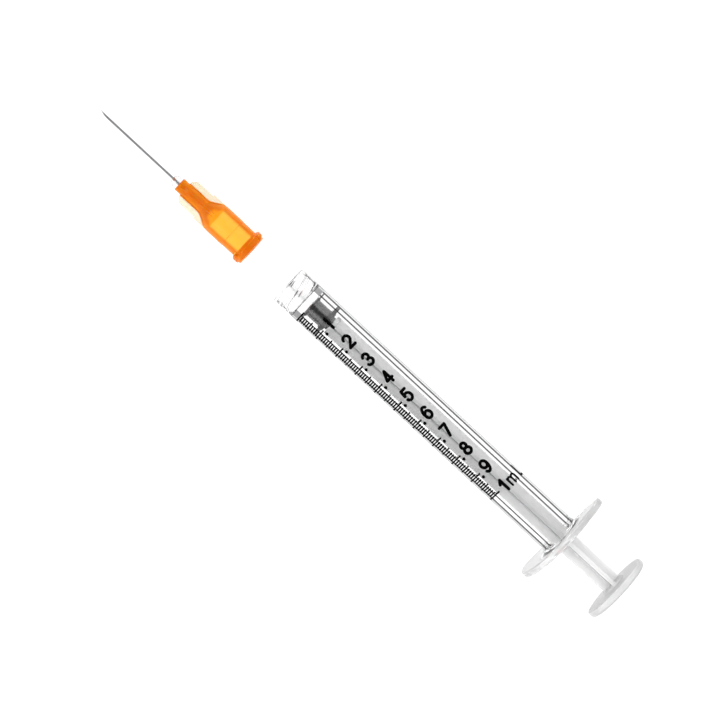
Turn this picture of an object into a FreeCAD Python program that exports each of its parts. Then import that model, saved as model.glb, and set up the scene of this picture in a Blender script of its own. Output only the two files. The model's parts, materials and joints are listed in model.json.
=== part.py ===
import FreeCAD, Part
import math
import os
from FreeCAD import Placement, Rotation, Vector

# Syringe with a lock collar, lying on its side, and its needle lying in line in front of it.
# Every piece is drawn round the X axis: station 0 is the collar's mouth, the needle lies at
# negative stations and the thumb rest at positive ones. Then one placement lays all of it down.
# Lengths in millimetres, angles in degrees.

# Scale and bore
SCALE_LENGTH = 55.0
CAPACITY = 1000.0
BORE_R = math.sqrt(CAPACITY / (math.pi * SCALE_LENGTH))

# Barrel
BARREL_R = 4.35
COLLAR_DEPTH = 5.0
END_WALL = 1.4
TIP_END_R = 1.98
TIP_PROUD = 0.0
TIP_BEVEL = 0.15
TAPER = 0.03
TIP_CHANNEL_R = 1.1
WALL_CHANNEL_R = 0.9
PARKING_LENGTH = 16.35
BORE_LEAD = 0.35
BORE_BEVEL = 0.15
INNER_RIM = 0.08
COLLAR_BEVEL = 0.25

# How far a cutter runs past the face that it opens
OVERRUN = 1.0

# Finger grips: a bowed oval, cut straight along the edges that it lies on
GRIP_SPAN = 26.4
GRIP_BOW = 0.75
GRIP_OVAL_HEIGHT = 15.2
GRIP_THICKNESS = 1.5
GRIP_ROOT = 1.1
GRIP_BEVEL = 0.35

# Stopper
STOPPER_LENGTH = 5.25
FRONT_RING = 0.75
REAR_RING = 1.3
WAIST_R = 2.08
RING_BEVEL = 0.12
BOSS_R = 1.6
BOSS_LENGTH = 0.5
CAVITY_FRONT = 1.4
STOPPER_CLEARANCE = 0.03
STOPPER_END_GAP = 0.1

# Plunger rod
RIB_CLEARANCE = 0.12
RIB_THICKNESS = 0.85
RIB_TURN = 43.0
RIB_EDGE = 0.15
RIB_ROOT = 0.3
PUSH_DISC = 0.95
PUSH_DISC_CLEARANCE = 0.1
HEAD_R = 1.35
HEAD_LENGTH = 1.5
HEAD_NOSE = 0.7
NECK_R = 0.85
HEAD_CLEARANCE = 0.05
ROD_BEYOND_BARREL = 13.45
GUSSET_R = 3.1
GUSSET_LENGTH = 0.7

# Thumb rest
THUMB_R = 7.85
THUMB_THICKNESS = 1.7
THUMB_REAR_ROUND = 0.9

# Bevel shared by the two round rims that touch the table
RIM_BEVEL = 0.3

# Needle hub
NEEDLE_GAP = 10.3
HUB_LENGTH = 20.5
SOCKET_DEPTH = 9.8
SEAT_DEPTH = 4.17
SEAT_CLEARANCE = 0.04
CHAMBER_R = 1.6
CHAMBER_DEPTH = 11.9
CHAMBER_CONE = 0.6
HUB_REAR_R = 3.25
HUB_FRONT_R = 3.32
HUB_STEP = 5.5
SHOULDER_END = 10.2
SHOULDER_LENGTH = 3.3
SHOULDER_FRONT_ROUND = 1.2
SHOULDER_REAR_ROUND = 1.6
HUB_BEVEL = 0.12
HUB_TURN = -40.0
NECK_OUTER_R = 1.5
LUG_R = 3.915
LUG_WIDTH = 0.95
LUG_ROOT_WIDTH = 1.3
LUG_ARC = 75.0
LUG_SET_BACK = 0.05
LUG_CLEARANCE = 0.1
LUG_SINK = 0.2
THREAD_LEAD = 5.0
END_FLANGE = 1.3
END_FLANGE_R = 3.55
FIN_COUNT = 4
FIN_R = 2.95
FIN_THICKNESS = 0.55
FIN_FRONT = 1.6
FIN_SLANT = 0.9
FIN_STEP_R = 3.25
FIN_STEP = 6.9

# Needle tube and its adhesive
NEEDLE_R = 0.25
NEEDLE_BORE_R = 0.13
NEEDLE_EXPOSED = 22.8
NEEDLE_HELD = 7.5
BEVEL_ANGLE = 12.0
FACET_ANGLE = 17.0
FACET_TURN = 28.0
FACET_SHARE = 0.55
BEVEL_TURN = 35.0
GLUE_LENGTH = 1.9
GLUE_SHOULDER = 0.85
GLUE_BEVEL = 0.4
GLUE_WELL_R = 0.9
GLUE_WELL = 0.7
GLUE_RIM = 0.06

# Stations worked out from the sizes above
BORE_FRONT = COLLAR_DEPTH + END_WALL
STOPPER_FRONT = BORE_FRONT + STOPPER_END_GAP
STOPPER_REAR = STOPPER_FRONT + STOPPER_LENGTH
BOSS_REAR = STOPPER_REAR + BOSS_LENGTH
GRIP_FRONT = STOPPER_FRONT + SCALE_LENGTH + PARKING_LENGTH
BARREL_REAR = GRIP_FRONT + GRIP_THICKNESS
RIB_FRONT = BOSS_REAR + PUSH_DISC
THUMB_FRONT = BARREL_REAR + ROD_BEYOND_BARREL
THUMB_REAR = THUMB_FRONT + THUMB_THICKNESS
HUB_REAR = -NEEDLE_GAP
HUB_FRONT = HUB_REAR - HUB_LENGTH
NEEDLE_TIP = HUB_FRONT - NEEDLE_EXPOSED

# Radii that fit one piece to another
STOPPER_R = BORE_R - STOPPER_CLEARANCE
RIB_R = BORE_R - RIB_CLEARANCE
PUSH_DISC_R = BORE_R - PUSH_DISC_CLEARANCE
CAVITY_R = HEAD_R + HEAD_CLEARANCE
CAVITY_NECK_R = NECK_R + HEAD_CLEARANCE
COLLAR_BORE_R = LUG_R + LUG_CLEARANCE
SOCKET_MOUTH_R = TIP_END_R + TAPER * SEAT_DEPTH + SEAT_CLEARANCE
HEAD_FRONT = STOPPER_FRONT + CAVITY_FRONT
HEAD_REAR = HEAD_FRONT + HEAD_LENGTH

# The syringe rests on the collar's rim, the grips' straight edges and the thumb rest's rim
PITCH = math.atan((THUMB_R - BARREL_R) / THUMB_FRONT)
SINE = math.sin(PITCH)
COSINE = math.cos(PITCH)
LIFT = BARREL_R * COSINE - RIM_BEVEL * SINE
GRIP_HALF_DEPTH = ((GRIP_FRONT + GRIP_BEVEL) * SINE + LIFT) / COSINE

# The row's origin is under the middle of its length
REAR_REACH = (THUMB_REAR - THUMB_REAR_ROUND) * COSINE + (THUMB_R - THUMB_REAR_ROUND) * SINE
REAR_REACH += THUMB_REAR_ROUND
FRONT_REACH = NEEDLE_TIP * COSINE
MIDDLE = (REAR_REACH + FRONT_REACH) / 2


def flat(x, y):
    """A point of a profile: station and radius."""
    return Vector(x, y, 0)


def rounded_outline(corners, place=flat):
    """A closed wire through (a, b, size) corners: a positive size rounds, a negative one bevels."""
    count = len(corners)
    starts = []
    ends = []
    middles = []
    for index, (a, b, rounding) in enumerate(corners):
        corner = Vector(a, b, 0)
        before = Vector(*corners[index - 1][:2], 0) - corner
        after = Vector(*corners[(index + 1) % count][:2], 0) - corner
        before.normalize()
        after.normalize()
        if rounding <= 0:
            starts.append(corner - before * rounding)
            ends.append(corner - after * rounding)
            middles.append(None)
            continue
        half = before.getAngle(after) / 2
        reach = rounding / math.tan(half)
        centre = corner + (before + after).normalize() * (rounding / math.sin(half))
        starts.append(corner + before * reach)
        ends.append(corner + after * reach)
        middles.append(centre + (corner - centre).normalize() * rounding)
    edges = []
    for index in range(count):
        if middles[index] is not None:
            arc = [place(p.x, p.y) for p in (starts[index], middles[index], ends[index])]
            edges.append(Part.Arc(*arc).toShape())
        elif (ends[index] - starts[index]).Length > 1e-6:
            bevel = [place(p.x, p.y) for p in (starts[index], ends[index])]
            edges.append(Part.makeLine(*bevel))
        first = ends[index]
        second = starts[(index + 1) % count]
        if (second - first).Length > 1e-6:
            edges.append(Part.makeLine(place(first.x, first.y), place(second.x, second.y)))
    return Part.Wire(edges)


def turned(corners):
    """A solid turned round the X axis from a rounded outline of stations and radii."""
    face = Part.Face(rounded_outline(corners))
    solid = face.revolve(Vector(0, 0, 0), Vector(1, 0, 0), 360)
    return Part.Solid(solid) if solid.ShapeType == "Shell" else solid


def across(y, z):
    """A point of a cross section, at station 0."""
    return Vector(0, y, z)


def finger_grips():
    """Both finger grips as one bevelled oval plate: bowed towards the needle, two edges cut straight."""
    bow_r = ((GRIP_SPAN / 2) ** 2 + GRIP_BOW ** 2) / (2 * GRIP_BOW)
    centre = Vector(GRIP_FRONT - bow_r, 0, -GRIP_HALF_DEPTH)
    up = Vector(0, 0, 1)
    plate = Part.makeCylinder(bow_r + GRIP_THICKNESS, 2 * GRIP_HALF_DEPTH, centre, up)
    plate = plate.cut(Part.makeCylinder(bow_r, 2 * GRIP_HALF_DEPTH, centre, up))
    plate.rotate(centre, up, 180)
    oval = Part.Wire(Part.Ellipse(Vector(0, 0, 0), GRIP_SPAN / 2, GRIP_OVAL_HEIGHT / 2).toShape())
    oval.Placement = Placement(Vector(GRIP_FRONT - 2 * GRIP_BOW, 0, 0), Rotation(Vector(1, 1, 1), 120))
    plate = plate.common(Part.Face(oval).extrude(Vector(GRIP_THICKNESS + 3 * GRIP_BOW, 0, 0)))
    rims = [edge for edge in plate.Edges if max(edge.BoundBox.YLength, edge.BoundBox.ZLength) > GRIP_BEVEL]
    return plate.makeChamfer(GRIP_BEVEL, rims)


def barrel():
    """One moulding: lock collar, tapered tip with its channel, tube and finger grips."""
    tip_end = -TIP_PROUD
    tip_root_r = TIP_END_R + TAPER * (COLLAR_DEPTH - tip_end)
    outside = turned([
        (0, 0, 0),
        (0, BARREL_R, -RIM_BEVEL),
        (GRIP_FRONT + GRIP_THICKNESS / 2, BARREL_R, 0),
        (GRIP_FRONT + GRIP_THICKNESS / 2, 0, 0)])
    outside = outside.fuse(finger_grips())
    root = [edge for edge in outside.Edges if abs(edge.BoundBox.YLength - 2 * BARREL_R) < 0.01
            and GRIP_FRONT - GRIP_BOW < edge.BoundBox.XMin and edge.BoundBox.XMax < GRIP_FRONT + GRIP_BEVEL]
    outside = outside.makeChamfer(GRIP_ROOT, root)
    collar_well = turned([
        (-OVERRUN, 0, 0),
        (-OVERRUN, COLLAR_BORE_R + INNER_RIM, 0),
        (0, COLLAR_BORE_R + INNER_RIM, 0),
        (INNER_RIM, COLLAR_BORE_R, 0),
        (COLLAR_DEPTH, COLLAR_BORE_R, -COLLAR_BEVEL),
        (COLLAR_DEPTH, 0, 0)])
    tip = turned([
        (tip_end, 0, 0),
        (tip_end, TIP_END_R, -TIP_BEVEL),
        (COLLAR_DEPTH, tip_root_r, 0),
        (COLLAR_DEPTH + END_WALL / 2, tip_root_r, 0),
        (COLLAR_DEPTH + END_WALL / 2, 0, 0)])
    bore = turned([
        (tip_end - OVERRUN, 0, 0),
        (tip_end - OVERRUN, TIP_CHANNEL_R, 0),
        (tip_end, TIP_CHANNEL_R, 0),
        (BORE_FRONT, WALL_CHANNEL_R, 0),
        (BORE_FRONT, BORE_R, -BORE_BEVEL),
        (BARREL_REAR - BORE_LEAD, BORE_R, 0),
        (BARREL_REAR, BORE_R + BORE_LEAD, 0),
        (BARREL_REAR + OVERRUN, BORE_R + BORE_LEAD, 0),
        (BARREL_REAR + OVERRUN, 0, 0)])
    return outside.cut(collar_well).fuse(tip).cut(bore).removeSplitter()


def stopper():
    """Rubber stopper: two sealing rings, a waist between them, and the cavity for the head."""
    return turned([
        (STOPPER_FRONT, 0, 0),
        (STOPPER_FRONT, STOPPER_R, -RING_BEVEL),
        (STOPPER_FRONT + FRONT_RING, STOPPER_R, -RING_BEVEL),
        (STOPPER_FRONT + FRONT_RING, WAIST_R, -RING_BEVEL),
        (STOPPER_REAR - REAR_RING, WAIST_R, -RING_BEVEL),
        (STOPPER_REAR - REAR_RING, STOPPER_R, -RING_BEVEL),
        (STOPPER_REAR, STOPPER_R, -RING_BEVEL),
        (STOPPER_REAR, BOSS_R, 0),
        (BOSS_REAR, BOSS_R, -RING_BEVEL),
        (BOSS_REAR, CAVITY_NECK_R, 0),
        (HEAD_REAR + HEAD_CLEARANCE, CAVITY_NECK_R, 0),
        (HEAD_REAR + HEAD_CLEARANCE, CAVITY_R, 0),
        (HEAD_FRONT + HEAD_NOSE, CAVITY_R, 0),
        (HEAD_FRONT - HEAD_CLEARANCE, NECK_R, 0),
        (HEAD_FRONT - HEAD_CLEARANCE, 0, 0)])


def plunger_rod():
    """One moulding: head, neck, push disc, four ribs and the thumb rest."""
    core = turned([
        (HEAD_FRONT, 0, 0),
        (HEAD_FRONT, NECK_R, 0),
        (HEAD_FRONT + HEAD_NOSE, HEAD_R, 0),
        (HEAD_REAR, HEAD_R, 0),
        (HEAD_REAR, NECK_R, 0),
        (BOSS_REAR + HEAD_CLEARANCE, NECK_R, 0),
        (BOSS_REAR + HEAD_CLEARANCE, PUSH_DISC_R, -RIB_EDGE),
        (RIB_FRONT, PUSH_DISC_R, -RIB_EDGE),
        (RIB_FRONT, 0, 0)])
    rest = turned([
        (THUMB_FRONT - GUSSET_LENGTH, 0, 0),
        (THUMB_FRONT - GUSSET_LENGTH, RIB_R, 0),
        (THUMB_FRONT, GUSSET_R, 0),
        (THUMB_FRONT, THUMB_R, -RIM_BEVEL),
        (THUMB_REAR, THUMB_R, THUMB_REAR_ROUND),
        (THUMB_REAR, 0, 0)])
    half = RIB_THICKNESS / 2
    cross = []
    for quarter in range(4):
        turn = Rotation(Vector(0, 0, 1), 90 * quarter)
        for a, b, rounding in ((RIB_R, -half, RIB_EDGE), (RIB_R, half, RIB_EDGE), (half, half, RIB_ROOT)):
            corner = turn.multVec(Vector(a, b, 0))
            cross.append((corner.x, corner.y, rounding))
    ribs = Part.Face(rounded_outline(cross, across))
    ribs = ribs.extrude(Vector(THUMB_FRONT - RIB_FRONT, 0, 0))
    ribs.translate(Vector(RIB_FRONT, 0, 0))
    ribs.rotate(Vector(0, 0, 0), Vector(1, 0, 0), RIB_TURN)
    return core.fuse([ribs, rest]).removeSplitter()


def lock_lug(turn):
    """One lug of the hub's end: a tapered ridge carried along a helix over part of a turn."""
    height = THREAD_LEAD * LUG_ARC / 360
    start = HUB_REAR - LUG_SET_BACK - LUG_ROOT_WIDTH / 2 - height
    inner_r = HUB_REAR_R - LUG_SINK
    helix = Part.makeHelix(THREAD_LEAD, height, inner_r)
    helix.rotate(Vector(0, 0, 0), Vector(0, 1, 0), 90)
    helix.translate(Vector(start, 0, 0))
    root = LUG_ROOT_WIDTH / 2
    crest = LUG_WIDTH / 2
    begin = helix.Vertexes[0].Point
    outward = Vector(0, begin.y, begin.z).normalize()
    corners = [(-root, inner_r), (-crest, LUG_R), (crest, LUG_R), (root, inner_r)]
    points = [Vector(start + x, 0, 0) + outward * r for x, r in corners]
    section = Part.Wire(Part.makePolygon(points + points[:1]))
    lug = Part.Wire(helix.Edges).makePipeShell([section], True, True)
    middle = math.degrees(math.atan2(outward.z, outward.y))
    lug.rotate(Vector(0, 0, 0), Vector(1, 0, 0), turn - middle - LUG_ARC / 2)
    return lug


def needle_hub():
    """One moulding: neck with four fins, shoulder, body with two lock lugs, tapered socket."""
    shoulder_front = HUB_REAR - SHOULDER_END - SHOULDER_LENGTH
    chamber_end = HUB_REAR - CHAMBER_DEPTH
    body = turned([
        (HUB_FRONT, 0, 0),
        (HUB_FRONT, NECK_OUTER_R, -HUB_BEVEL),
        (shoulder_front, NECK_OUTER_R, SHOULDER_FRONT_ROUND),
        (HUB_REAR - SHOULDER_END, HUB_FRONT_R, SHOULDER_REAR_ROUND),
        (HUB_REAR - HUB_STEP, HUB_FRONT_R, 0),
        (HUB_REAR - HUB_STEP, HUB_REAR_R, 0),
        (HUB_REAR - END_FLANGE, HUB_REAR_R, 0),
        (HUB_REAR - END_FLANGE, END_FLANGE_R, -HUB_BEVEL),
        (HUB_REAR, END_FLANGE_R, -HUB_BEVEL),
        (HUB_REAR, 0, 0)])
    front = HUB_FRONT + FIN_FRONT
    step = HUB_FRONT + FIN_STEP
    rear = HUB_REAR - SHOULDER_END
    root_r = NECK_OUTER_R / 2
    fin_outline = [(front, root_r), (front, FIN_R - FIN_SLANT), (front + FIN_SLANT, FIN_R), (step, FIN_R),
                   (step, FIN_STEP_R), (rear, FIN_STEP_R), (rear, root_r)]
    fin_points = [Vector(x, -FIN_THICKNESS / 2, r) for x, r in fin_outline]
    fin_face = Part.Face(Part.makePolygon(fin_points + fin_points[:1]))
    fins = []
    for index in range(FIN_COUNT):
        fin = fin_face.extrude(Vector(0, FIN_THICKNESS, 0))
        fin.rotate(Vector(0, 0, 0), Vector(1, 0, 0), 360 * index / FIN_COUNT)
        fins.append(fin)
    socket = turned([
        (HUB_REAR + OVERRUN, 0, 0),
        (HUB_REAR + OVERRUN, SOCKET_MOUTH_R + TAPER * OVERRUN, 0),
        (HUB_REAR - SOCKET_DEPTH, SOCKET_MOUTH_R - TAPER * SOCKET_DEPTH, 0),
        (HUB_REAR - SOCKET_DEPTH, CHAMBER_R, 0),
        (chamber_end, CHAMBER_R, 0),
        (chamber_end - CHAMBER_CONE, NEEDLE_R, 0),
        (HUB_FRONT + GLUE_WELL, NEEDLE_R, 0),
        (HUB_FRONT, GLUE_WELL_R, 0),
        (HUB_FRONT - OVERRUN, GLUE_WELL_R, 0),
        (HUB_FRONT - OVERRUN, 0, 0)])
    lugs = [lock_lug(0), lock_lug(180)]
    hub = body.fuse(fins + lugs).cut(socket).removeSplitter()
    hub.rotate(Vector(0, 0, 0), Vector(1, 0, 0), HUB_TURN)
    return hub


def cannula():
    """Steel tube with a lancet point: one long bevel and two side facets near its tip."""
    length = NEEDLE_EXPOSED + NEEDLE_HELD
    start = Vector(NEEDLE_TIP, 0, 0)
    along = Vector(1, 0, 0)
    tube = Part.makeCylinder(NEEDLE_R, length, start, along)
    tube = tube.cut(Part.makeCylinder(NEEDLE_BORE_R, length, start, along))

    def grind(angle, turn, depth):
        """Everything above a plane that rises from depth below the tube's wall at its tip."""
        size = 20 * NEEDLE_R
        wheel = Part.makeBox(2 * size, size, size, Vector(-size, -size / 2, 0))
        wheel.rotate(Vector(0, 0, 0), Vector(0, 1, 0), -angle)
        wheel.translate(Vector(NEEDLE_TIP, 0, depth - NEEDLE_R))
        wheel.rotate(start, along, turn)
        return wheel

    side = FACET_SHARE * NEEDLE_R * (1 - math.cos(math.radians(FACET_TURN)))
    grinds = ((BEVEL_ANGLE, 0, 0), (FACET_ANGLE, FACET_TURN, side), (FACET_ANGLE, -FACET_TURN, side))
    for angle, turn, depth in grinds:
        tube = tube.cut(grind(angle, turn, depth))
    tube.rotate(start, along, BEVEL_TURN)
    return tube


def adhesive_bead():
    """Clear adhesive dome that fills the hub's well and seals the tube in it."""
    bead = turned([
        (HUB_FRONT + GLUE_WELL, NEEDLE_R, 0),
        (HUB_FRONT, GLUE_WELL_R, 0),
        (HUB_FRONT, NECK_OUTER_R - HUB_BEVEL, 0),
        (HUB_FRONT - GLUE_SHOULDER, NECK_OUTER_R - HUB_BEVEL, -GLUE_BEVEL),
        (HUB_FRONT - GLUE_LENGTH, NEEDLE_R + GLUE_RIM, 0),
        (HUB_FRONT - GLUE_LENGTH, NEEDLE_R, 0)])
    return bead


PIECES = {
    "barrel": barrel,
    "stopper": stopper,
    "plunger_rod": plunger_rod,
    "needle_hub": needle_hub,
    "cannula": cannula,
    "adhesive_bead": adhesive_bead,
}

# The placement turns the axis up towards the thumb rest and sets the three rims on the table
LAID_DOWN = Placement(Vector(-MIDDLE, 0, LIFT), Rotation(Vector(0, 1, 0), -math.degrees(PITCH)))

os.makedirs("parts", exist_ok=True)
for node, make in PIECES.items():
    shape = make()
    shape.Placement = LAID_DOWN.multiply(shape.Placement)
    shape.exportStep("parts/" + node + ".step")
    print(node, shape.isValid(), len(shape.Solids), len(shape.Faces), round(shape.Volume, 3))
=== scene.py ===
import json
import math
import bpy
import numpy as np
from mathutils import Matrix


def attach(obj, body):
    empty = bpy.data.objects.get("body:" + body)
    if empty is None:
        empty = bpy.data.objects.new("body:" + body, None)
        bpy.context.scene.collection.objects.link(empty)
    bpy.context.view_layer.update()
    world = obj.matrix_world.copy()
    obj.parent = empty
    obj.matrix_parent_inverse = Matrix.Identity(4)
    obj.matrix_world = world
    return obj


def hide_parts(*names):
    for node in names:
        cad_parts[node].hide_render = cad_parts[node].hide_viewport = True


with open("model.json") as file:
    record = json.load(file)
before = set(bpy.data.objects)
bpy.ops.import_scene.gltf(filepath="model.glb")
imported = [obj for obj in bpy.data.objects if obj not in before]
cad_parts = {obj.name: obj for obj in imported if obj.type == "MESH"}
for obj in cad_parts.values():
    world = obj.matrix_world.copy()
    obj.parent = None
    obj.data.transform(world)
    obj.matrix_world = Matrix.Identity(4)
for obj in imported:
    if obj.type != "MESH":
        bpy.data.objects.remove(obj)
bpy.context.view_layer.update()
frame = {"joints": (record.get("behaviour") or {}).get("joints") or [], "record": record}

# A clear 1 mL syringe lying on its collar, finger grips and thumb rest, and its orange needle lying
# in line in front of it. Shapes are worked out in millimetres in the syringe's own straight frame:
# station along its axis from the collar's mouth, distance across, and height above the axis.
# A turn is an angle round that axis, 0 at the top and growing to the right hand about +X.
MM = 0.001
MOUNTS = {mount["name"]: mount for mount in frame["record"]["mounts"]}
MOUTH = np.array(MOUNTS["luer_lock"]["pos_m"])
ALONG = -np.array(MOUNTS["luer_lock"]["axis"])
ACROSS = np.array([0.0, 1.0, 0.0])
UPWARD = np.cross(ALONG, ACROSS)
PITCH = math.asin(ALONG[2])


def station_of(mount):
    """Distance of a mount from the collar's mouth along the axis."""
    return float(np.dot(np.array(MOUNTS[mount]["pos_m"]) - MOUTH, ALONG) / MM)


# Barrel
BARREL_R = MOUNTS["barrel_outside"]["dims"]["r_mm"]
VOLUME = 1000.0
SCALE_LENGTH = 55.0
BORE_R = math.sqrt(VOLUME / (math.pi * SCALE_LENGTH))
RIM_BEVEL = 0.3
COLLAR_DEPTH = 5.0
COLLAR_BORE_R = 4.015
END_WALL = 1.4
BORE_FRONT = COLLAR_DEPTH + END_WALL
TIP_END_R = 1.98
TAPER = 0.03
TIP_CHANNEL_R = 1.1
WALL_CHANNEL_R = 0.9
GRIP_FRONT = station_of("finger_grips")
GRIP_THICKNESS = 1.5
BARREL_REAR = GRIP_FRONT + GRIP_THICKNESS
GRIP_ROOT = 1.6
GRIP_HALF_SPAN = 13.2
GRIP_HALF_HEIGHT = 7.6
GRIP_BOW = 0.75
GRIP_BOW_R = (GRIP_HALF_SPAN ** 2 + GRIP_BOW ** 2) / (2 * GRIP_BOW)
GRIP_EDGE = 0.35
GRIP_HALF_DEPTH = BARREL_R + (GRIP_FRONT + GRIP_EDGE - RIM_BEVEL) * math.tan(PITCH)
BORE_LEAD = 0.35

# Thread inside the collar
THREAD_PITCH = 2.5
THREAD_STARTS = 2
RISE_A_DEGREE = THREAD_PITCH * THREAD_STARTS / 360
RIDGE_R = 3.62
RIDGE_CREST = 0.22
RIDGE_FOOT = 0.62
RIDGE_INSET = 0.15
RIDGE_FADE_IN = 0.5
RIDGE_FADE_OUT = 0.3

# Stopper
STOPPER_FRONT = BORE_FRONT + 0.1
STOPPER_LENGTH = 5.25
STOPPER_REAR = STOPPER_FRONT + STOPPER_LENGTH
STOPPER_R = BORE_R + 0.003
WAIST_R = 2.08
FRONT_RING = 0.75
REAR_RING = 1.3
BOSS_R = 1.6
BOSS_REAR = STOPPER_REAR + 0.5
CAVITY_FRONT = STOPPER_FRONT + 1.35

# Plunger rod
RIB_R = BORE_R - 0.12
RIB_HALF = 0.425
RIB_CORE_R = 0.74
RIB_TURN = 43.0
DISC_R = BORE_R - 0.1
DISC_FRONT = BOSS_REAR + 0.05
RIB_FRONT = BOSS_REAR + 0.95
HEAD_FRONT = STOPPER_FRONT + 1.4
HEAD_NOSE = 0.7
HEAD_REAR = HEAD_FRONT + 1.5
HEAD_R = 1.35
HEAD_CLEARANCE = 0.05
ROD_NECK_R = 0.85
THUMB_REAR = station_of("thumb_rest")
THUMB_FRONT = THUMB_REAR - 1.7
THUMB_R = 7.85
GUSSET_R = 3.1
GUSSET_LENGTH = 0.7

# Needle hub
HUB_REAR = station_of("hub_socket")
HUB_FRONT = HUB_REAR - 20.5
SOCKET_DEPTH = 9.8
SOCKET_MOUTH_R = 2.145
HUB_REAR_R = 3.25
HUB_BODY_R = 3.32
HUB_STEP = HUB_REAR - 5.5
HUB_STEP_LENGTH = 0.07
SHOULDER = HUB_REAR - 10.2
SHOULDER_LENGTH = 3.3
HUB_NECK_R = 1.5
CHAMBER_R = 1.6
CHAMBER_DEPTH = 11.9
CHAMBER_CONE = 0.6
FRONT_SEAM_R = 1.1
REAR_SEAM_R = 2.6
HUB_TURN = -40.0
FIN_HALF = 0.275
FIN_R = 2.95
FIN_STEP_R = 3.25
FIN_FRONT = 1.6
FIN_SLANT = 0.9
FIN_STEP = 6.9
END_FLANGE = HUB_REAR - 1.3
END_FLANGE_R = 3.55
LUG_R = 3.915
LUG_CREST = 0.475
LUG_FOOT = 0.65
LUG_HALF_ARC = 37.5
LUG_END_ARC = 1.5
LUG_SINK = 0.01
LUG_REACH = 1.4
LUG_MIDDLE = HUB_REAR - 0.05 - LUG_FOOT - RISE_A_DEGREE * LUG_HALF_ARC

# Needle tube and adhesive
NEEDLE_R = 0.25
NEEDLE_BORE_R = 0.13
NEEDLE_HOLE_R = NEEDLE_R + 0.012
NEEDLE_TIP = HUB_FRONT - 22.8
NEEDLE_HELD = 7.5
BEVEL_ANGLE = 12.0
FACET_ANGLE = 17.0
FACET_TURN = 28.0
FACET_SINK = 0.55 * NEEDLE_R * (1 - math.cos(math.radians(FACET_TURN)))
BEVEL_TURN = 35.0
GLUE_LENGTH = 1.9
GLUE_R = 1.38
GLUE_WELL = 0.7
GLUE_WELL_R = 0.9
GLUE_TOP_R = NEEDLE_R + 0.03
GLUE_BORE_R = NEEDLE_R + 0.006

# Where the hub's lugs lie when the needle is seated, half a pitch from the nearest ridges
JOINTS = {joint["name"]: joint for joint in frame["joints"]}
NEEDLE_TRAVEL = JOINTS["needle_slide"]["range_m"][1] / MM
LUG_TURN = HUB_TURN - 90
RIDGE_STATION = LUG_MIDDLE + NEEDLE_TRAVEL + THREAD_PITCH / 2 - RISE_A_DEGREE * LUG_TURN


def placed(station, turn, radius):
    """Frame coordinates in metres of points given by station, turn in degrees and radius."""
    station, turn, radius = np.broadcast_arrays(station, np.radians(turn), radius)
    steps = (station, ALONG), (-radius * np.sin(turn), ACROSS), (radius * np.cos(turn), UPWARD)
    return MOUTH + MM * sum(length[..., None] * way for length, way in steps)


def even_turns(count):
    """Evenly spaced turns all the way round."""
    return np.linspace(0, 360, count, endpoint=False)


def at_every_turn(outline, turns):
    """Radii of an outline's points, the same at every turn."""
    return np.repeat(outline[:, 1:], len(turns), axis=1)


def profile(corners, closed=False, steps=6, margin=0.4):
    """Stations and radii of an outline through (station, radius, rounding) corners.

    A rounding is the arc that touches both neighbouring sides. A point lies a little before and after
    each arc, margin times the rounding away, so that the sides between arcs shade flat.
    """
    points = np.array([corner[:2] for corner in corners], float)
    line = []
    for index, (station, radius, rounding) in enumerate(corners):
        corner = points[index]
        inside = closed or 0 < index < len(corners) - 1
        if not inside or rounding == 0:
            line.append(corner[None])
            continue
        before = points[index - 1] - corner
        after = points[(index + 1) % len(corners)] - corner
        before /= np.linalg.norm(before)
        after /= np.linalg.norm(after)
        half = math.acos(np.clip(np.dot(before, after), -1, 1)) / 2
        centre = corner + (before + after) / np.linalg.norm(before + after) * rounding / math.sin(half)
        start = corner + before * rounding / math.tan(half)
        end = corner + after * rounding / math.tan(half)
        share = np.linspace(0, 1, steps + 1)[:, None]
        sweep = math.pi - 2 * half
        weights = np.sin((1 - share) * sweep), np.sin(share * sweep)
        arc = centre + (weights[0] * (start - centre) + weights[1] * (end - centre)) / math.sin(sweep)
        line += [(start + before * margin * rounding)[None], arc, (end + after * margin * rounding)[None]]
    return np.concatenate(line)


def shell(rings, looped=False, first_pole=None, last_pole=None):
    """Vertices and faces of a surface whose rows are closed rings.

    Each face joins two neighbours of a ring to the two of the next ring. With looped the last ring
    joins the first; a pole closes that end with a fan. Faces are turned so that the volume is positive.
    """
    rows, columns = rings.shape[:2]
    numbers = np.arange(rows * columns).reshape(rows, columns)
    following = np.roll(numbers, -1, axis=1)
    last = rows if looped else rows - 1
    below = np.roll(numbers, -1, axis=0)[:last]
    below_following = np.roll(following, -1, axis=0)[:last]
    quads = np.stack([numbers[:last], following[:last], below_following, below], axis=-1).reshape(-1, 4)
    vertices = rings.reshape(-1, 3)
    fans = []
    for pole, row, order in ((first_pole, 0, (0, 2, 1)), (last_pole, -1, (0, 1, 2))):
        if pole is not None:
            top = np.full(columns, len(vertices))
            vertices = np.vstack([vertices, pole])
            fans.append(np.stack([top, numbers[row], following[row]], axis=-1)[:, order])
    triangles = np.concatenate(fans) if fans else np.zeros((0, 3), int)
    halves = np.concatenate([quads[:, [0, 1, 2]], quads[:, [0, 2, 3]], triangles])
    centred = vertices - vertices.mean(0)
    a, b, c = (centred[halves[:, k]] for k in range(3))
    if np.einsum("ij,ij->", a, np.cross(b, c)) < 0:
        quads = quads[:, ::-1]
        triangles = triangles[:, ::-1]
    return vertices, quads, triangles


def added(name, data):
    """A new object with that data in the scene."""
    thing = bpy.data.objects.new(name, data)
    bpy.context.scene.collection.objects.link(thing)
    return thing


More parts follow.
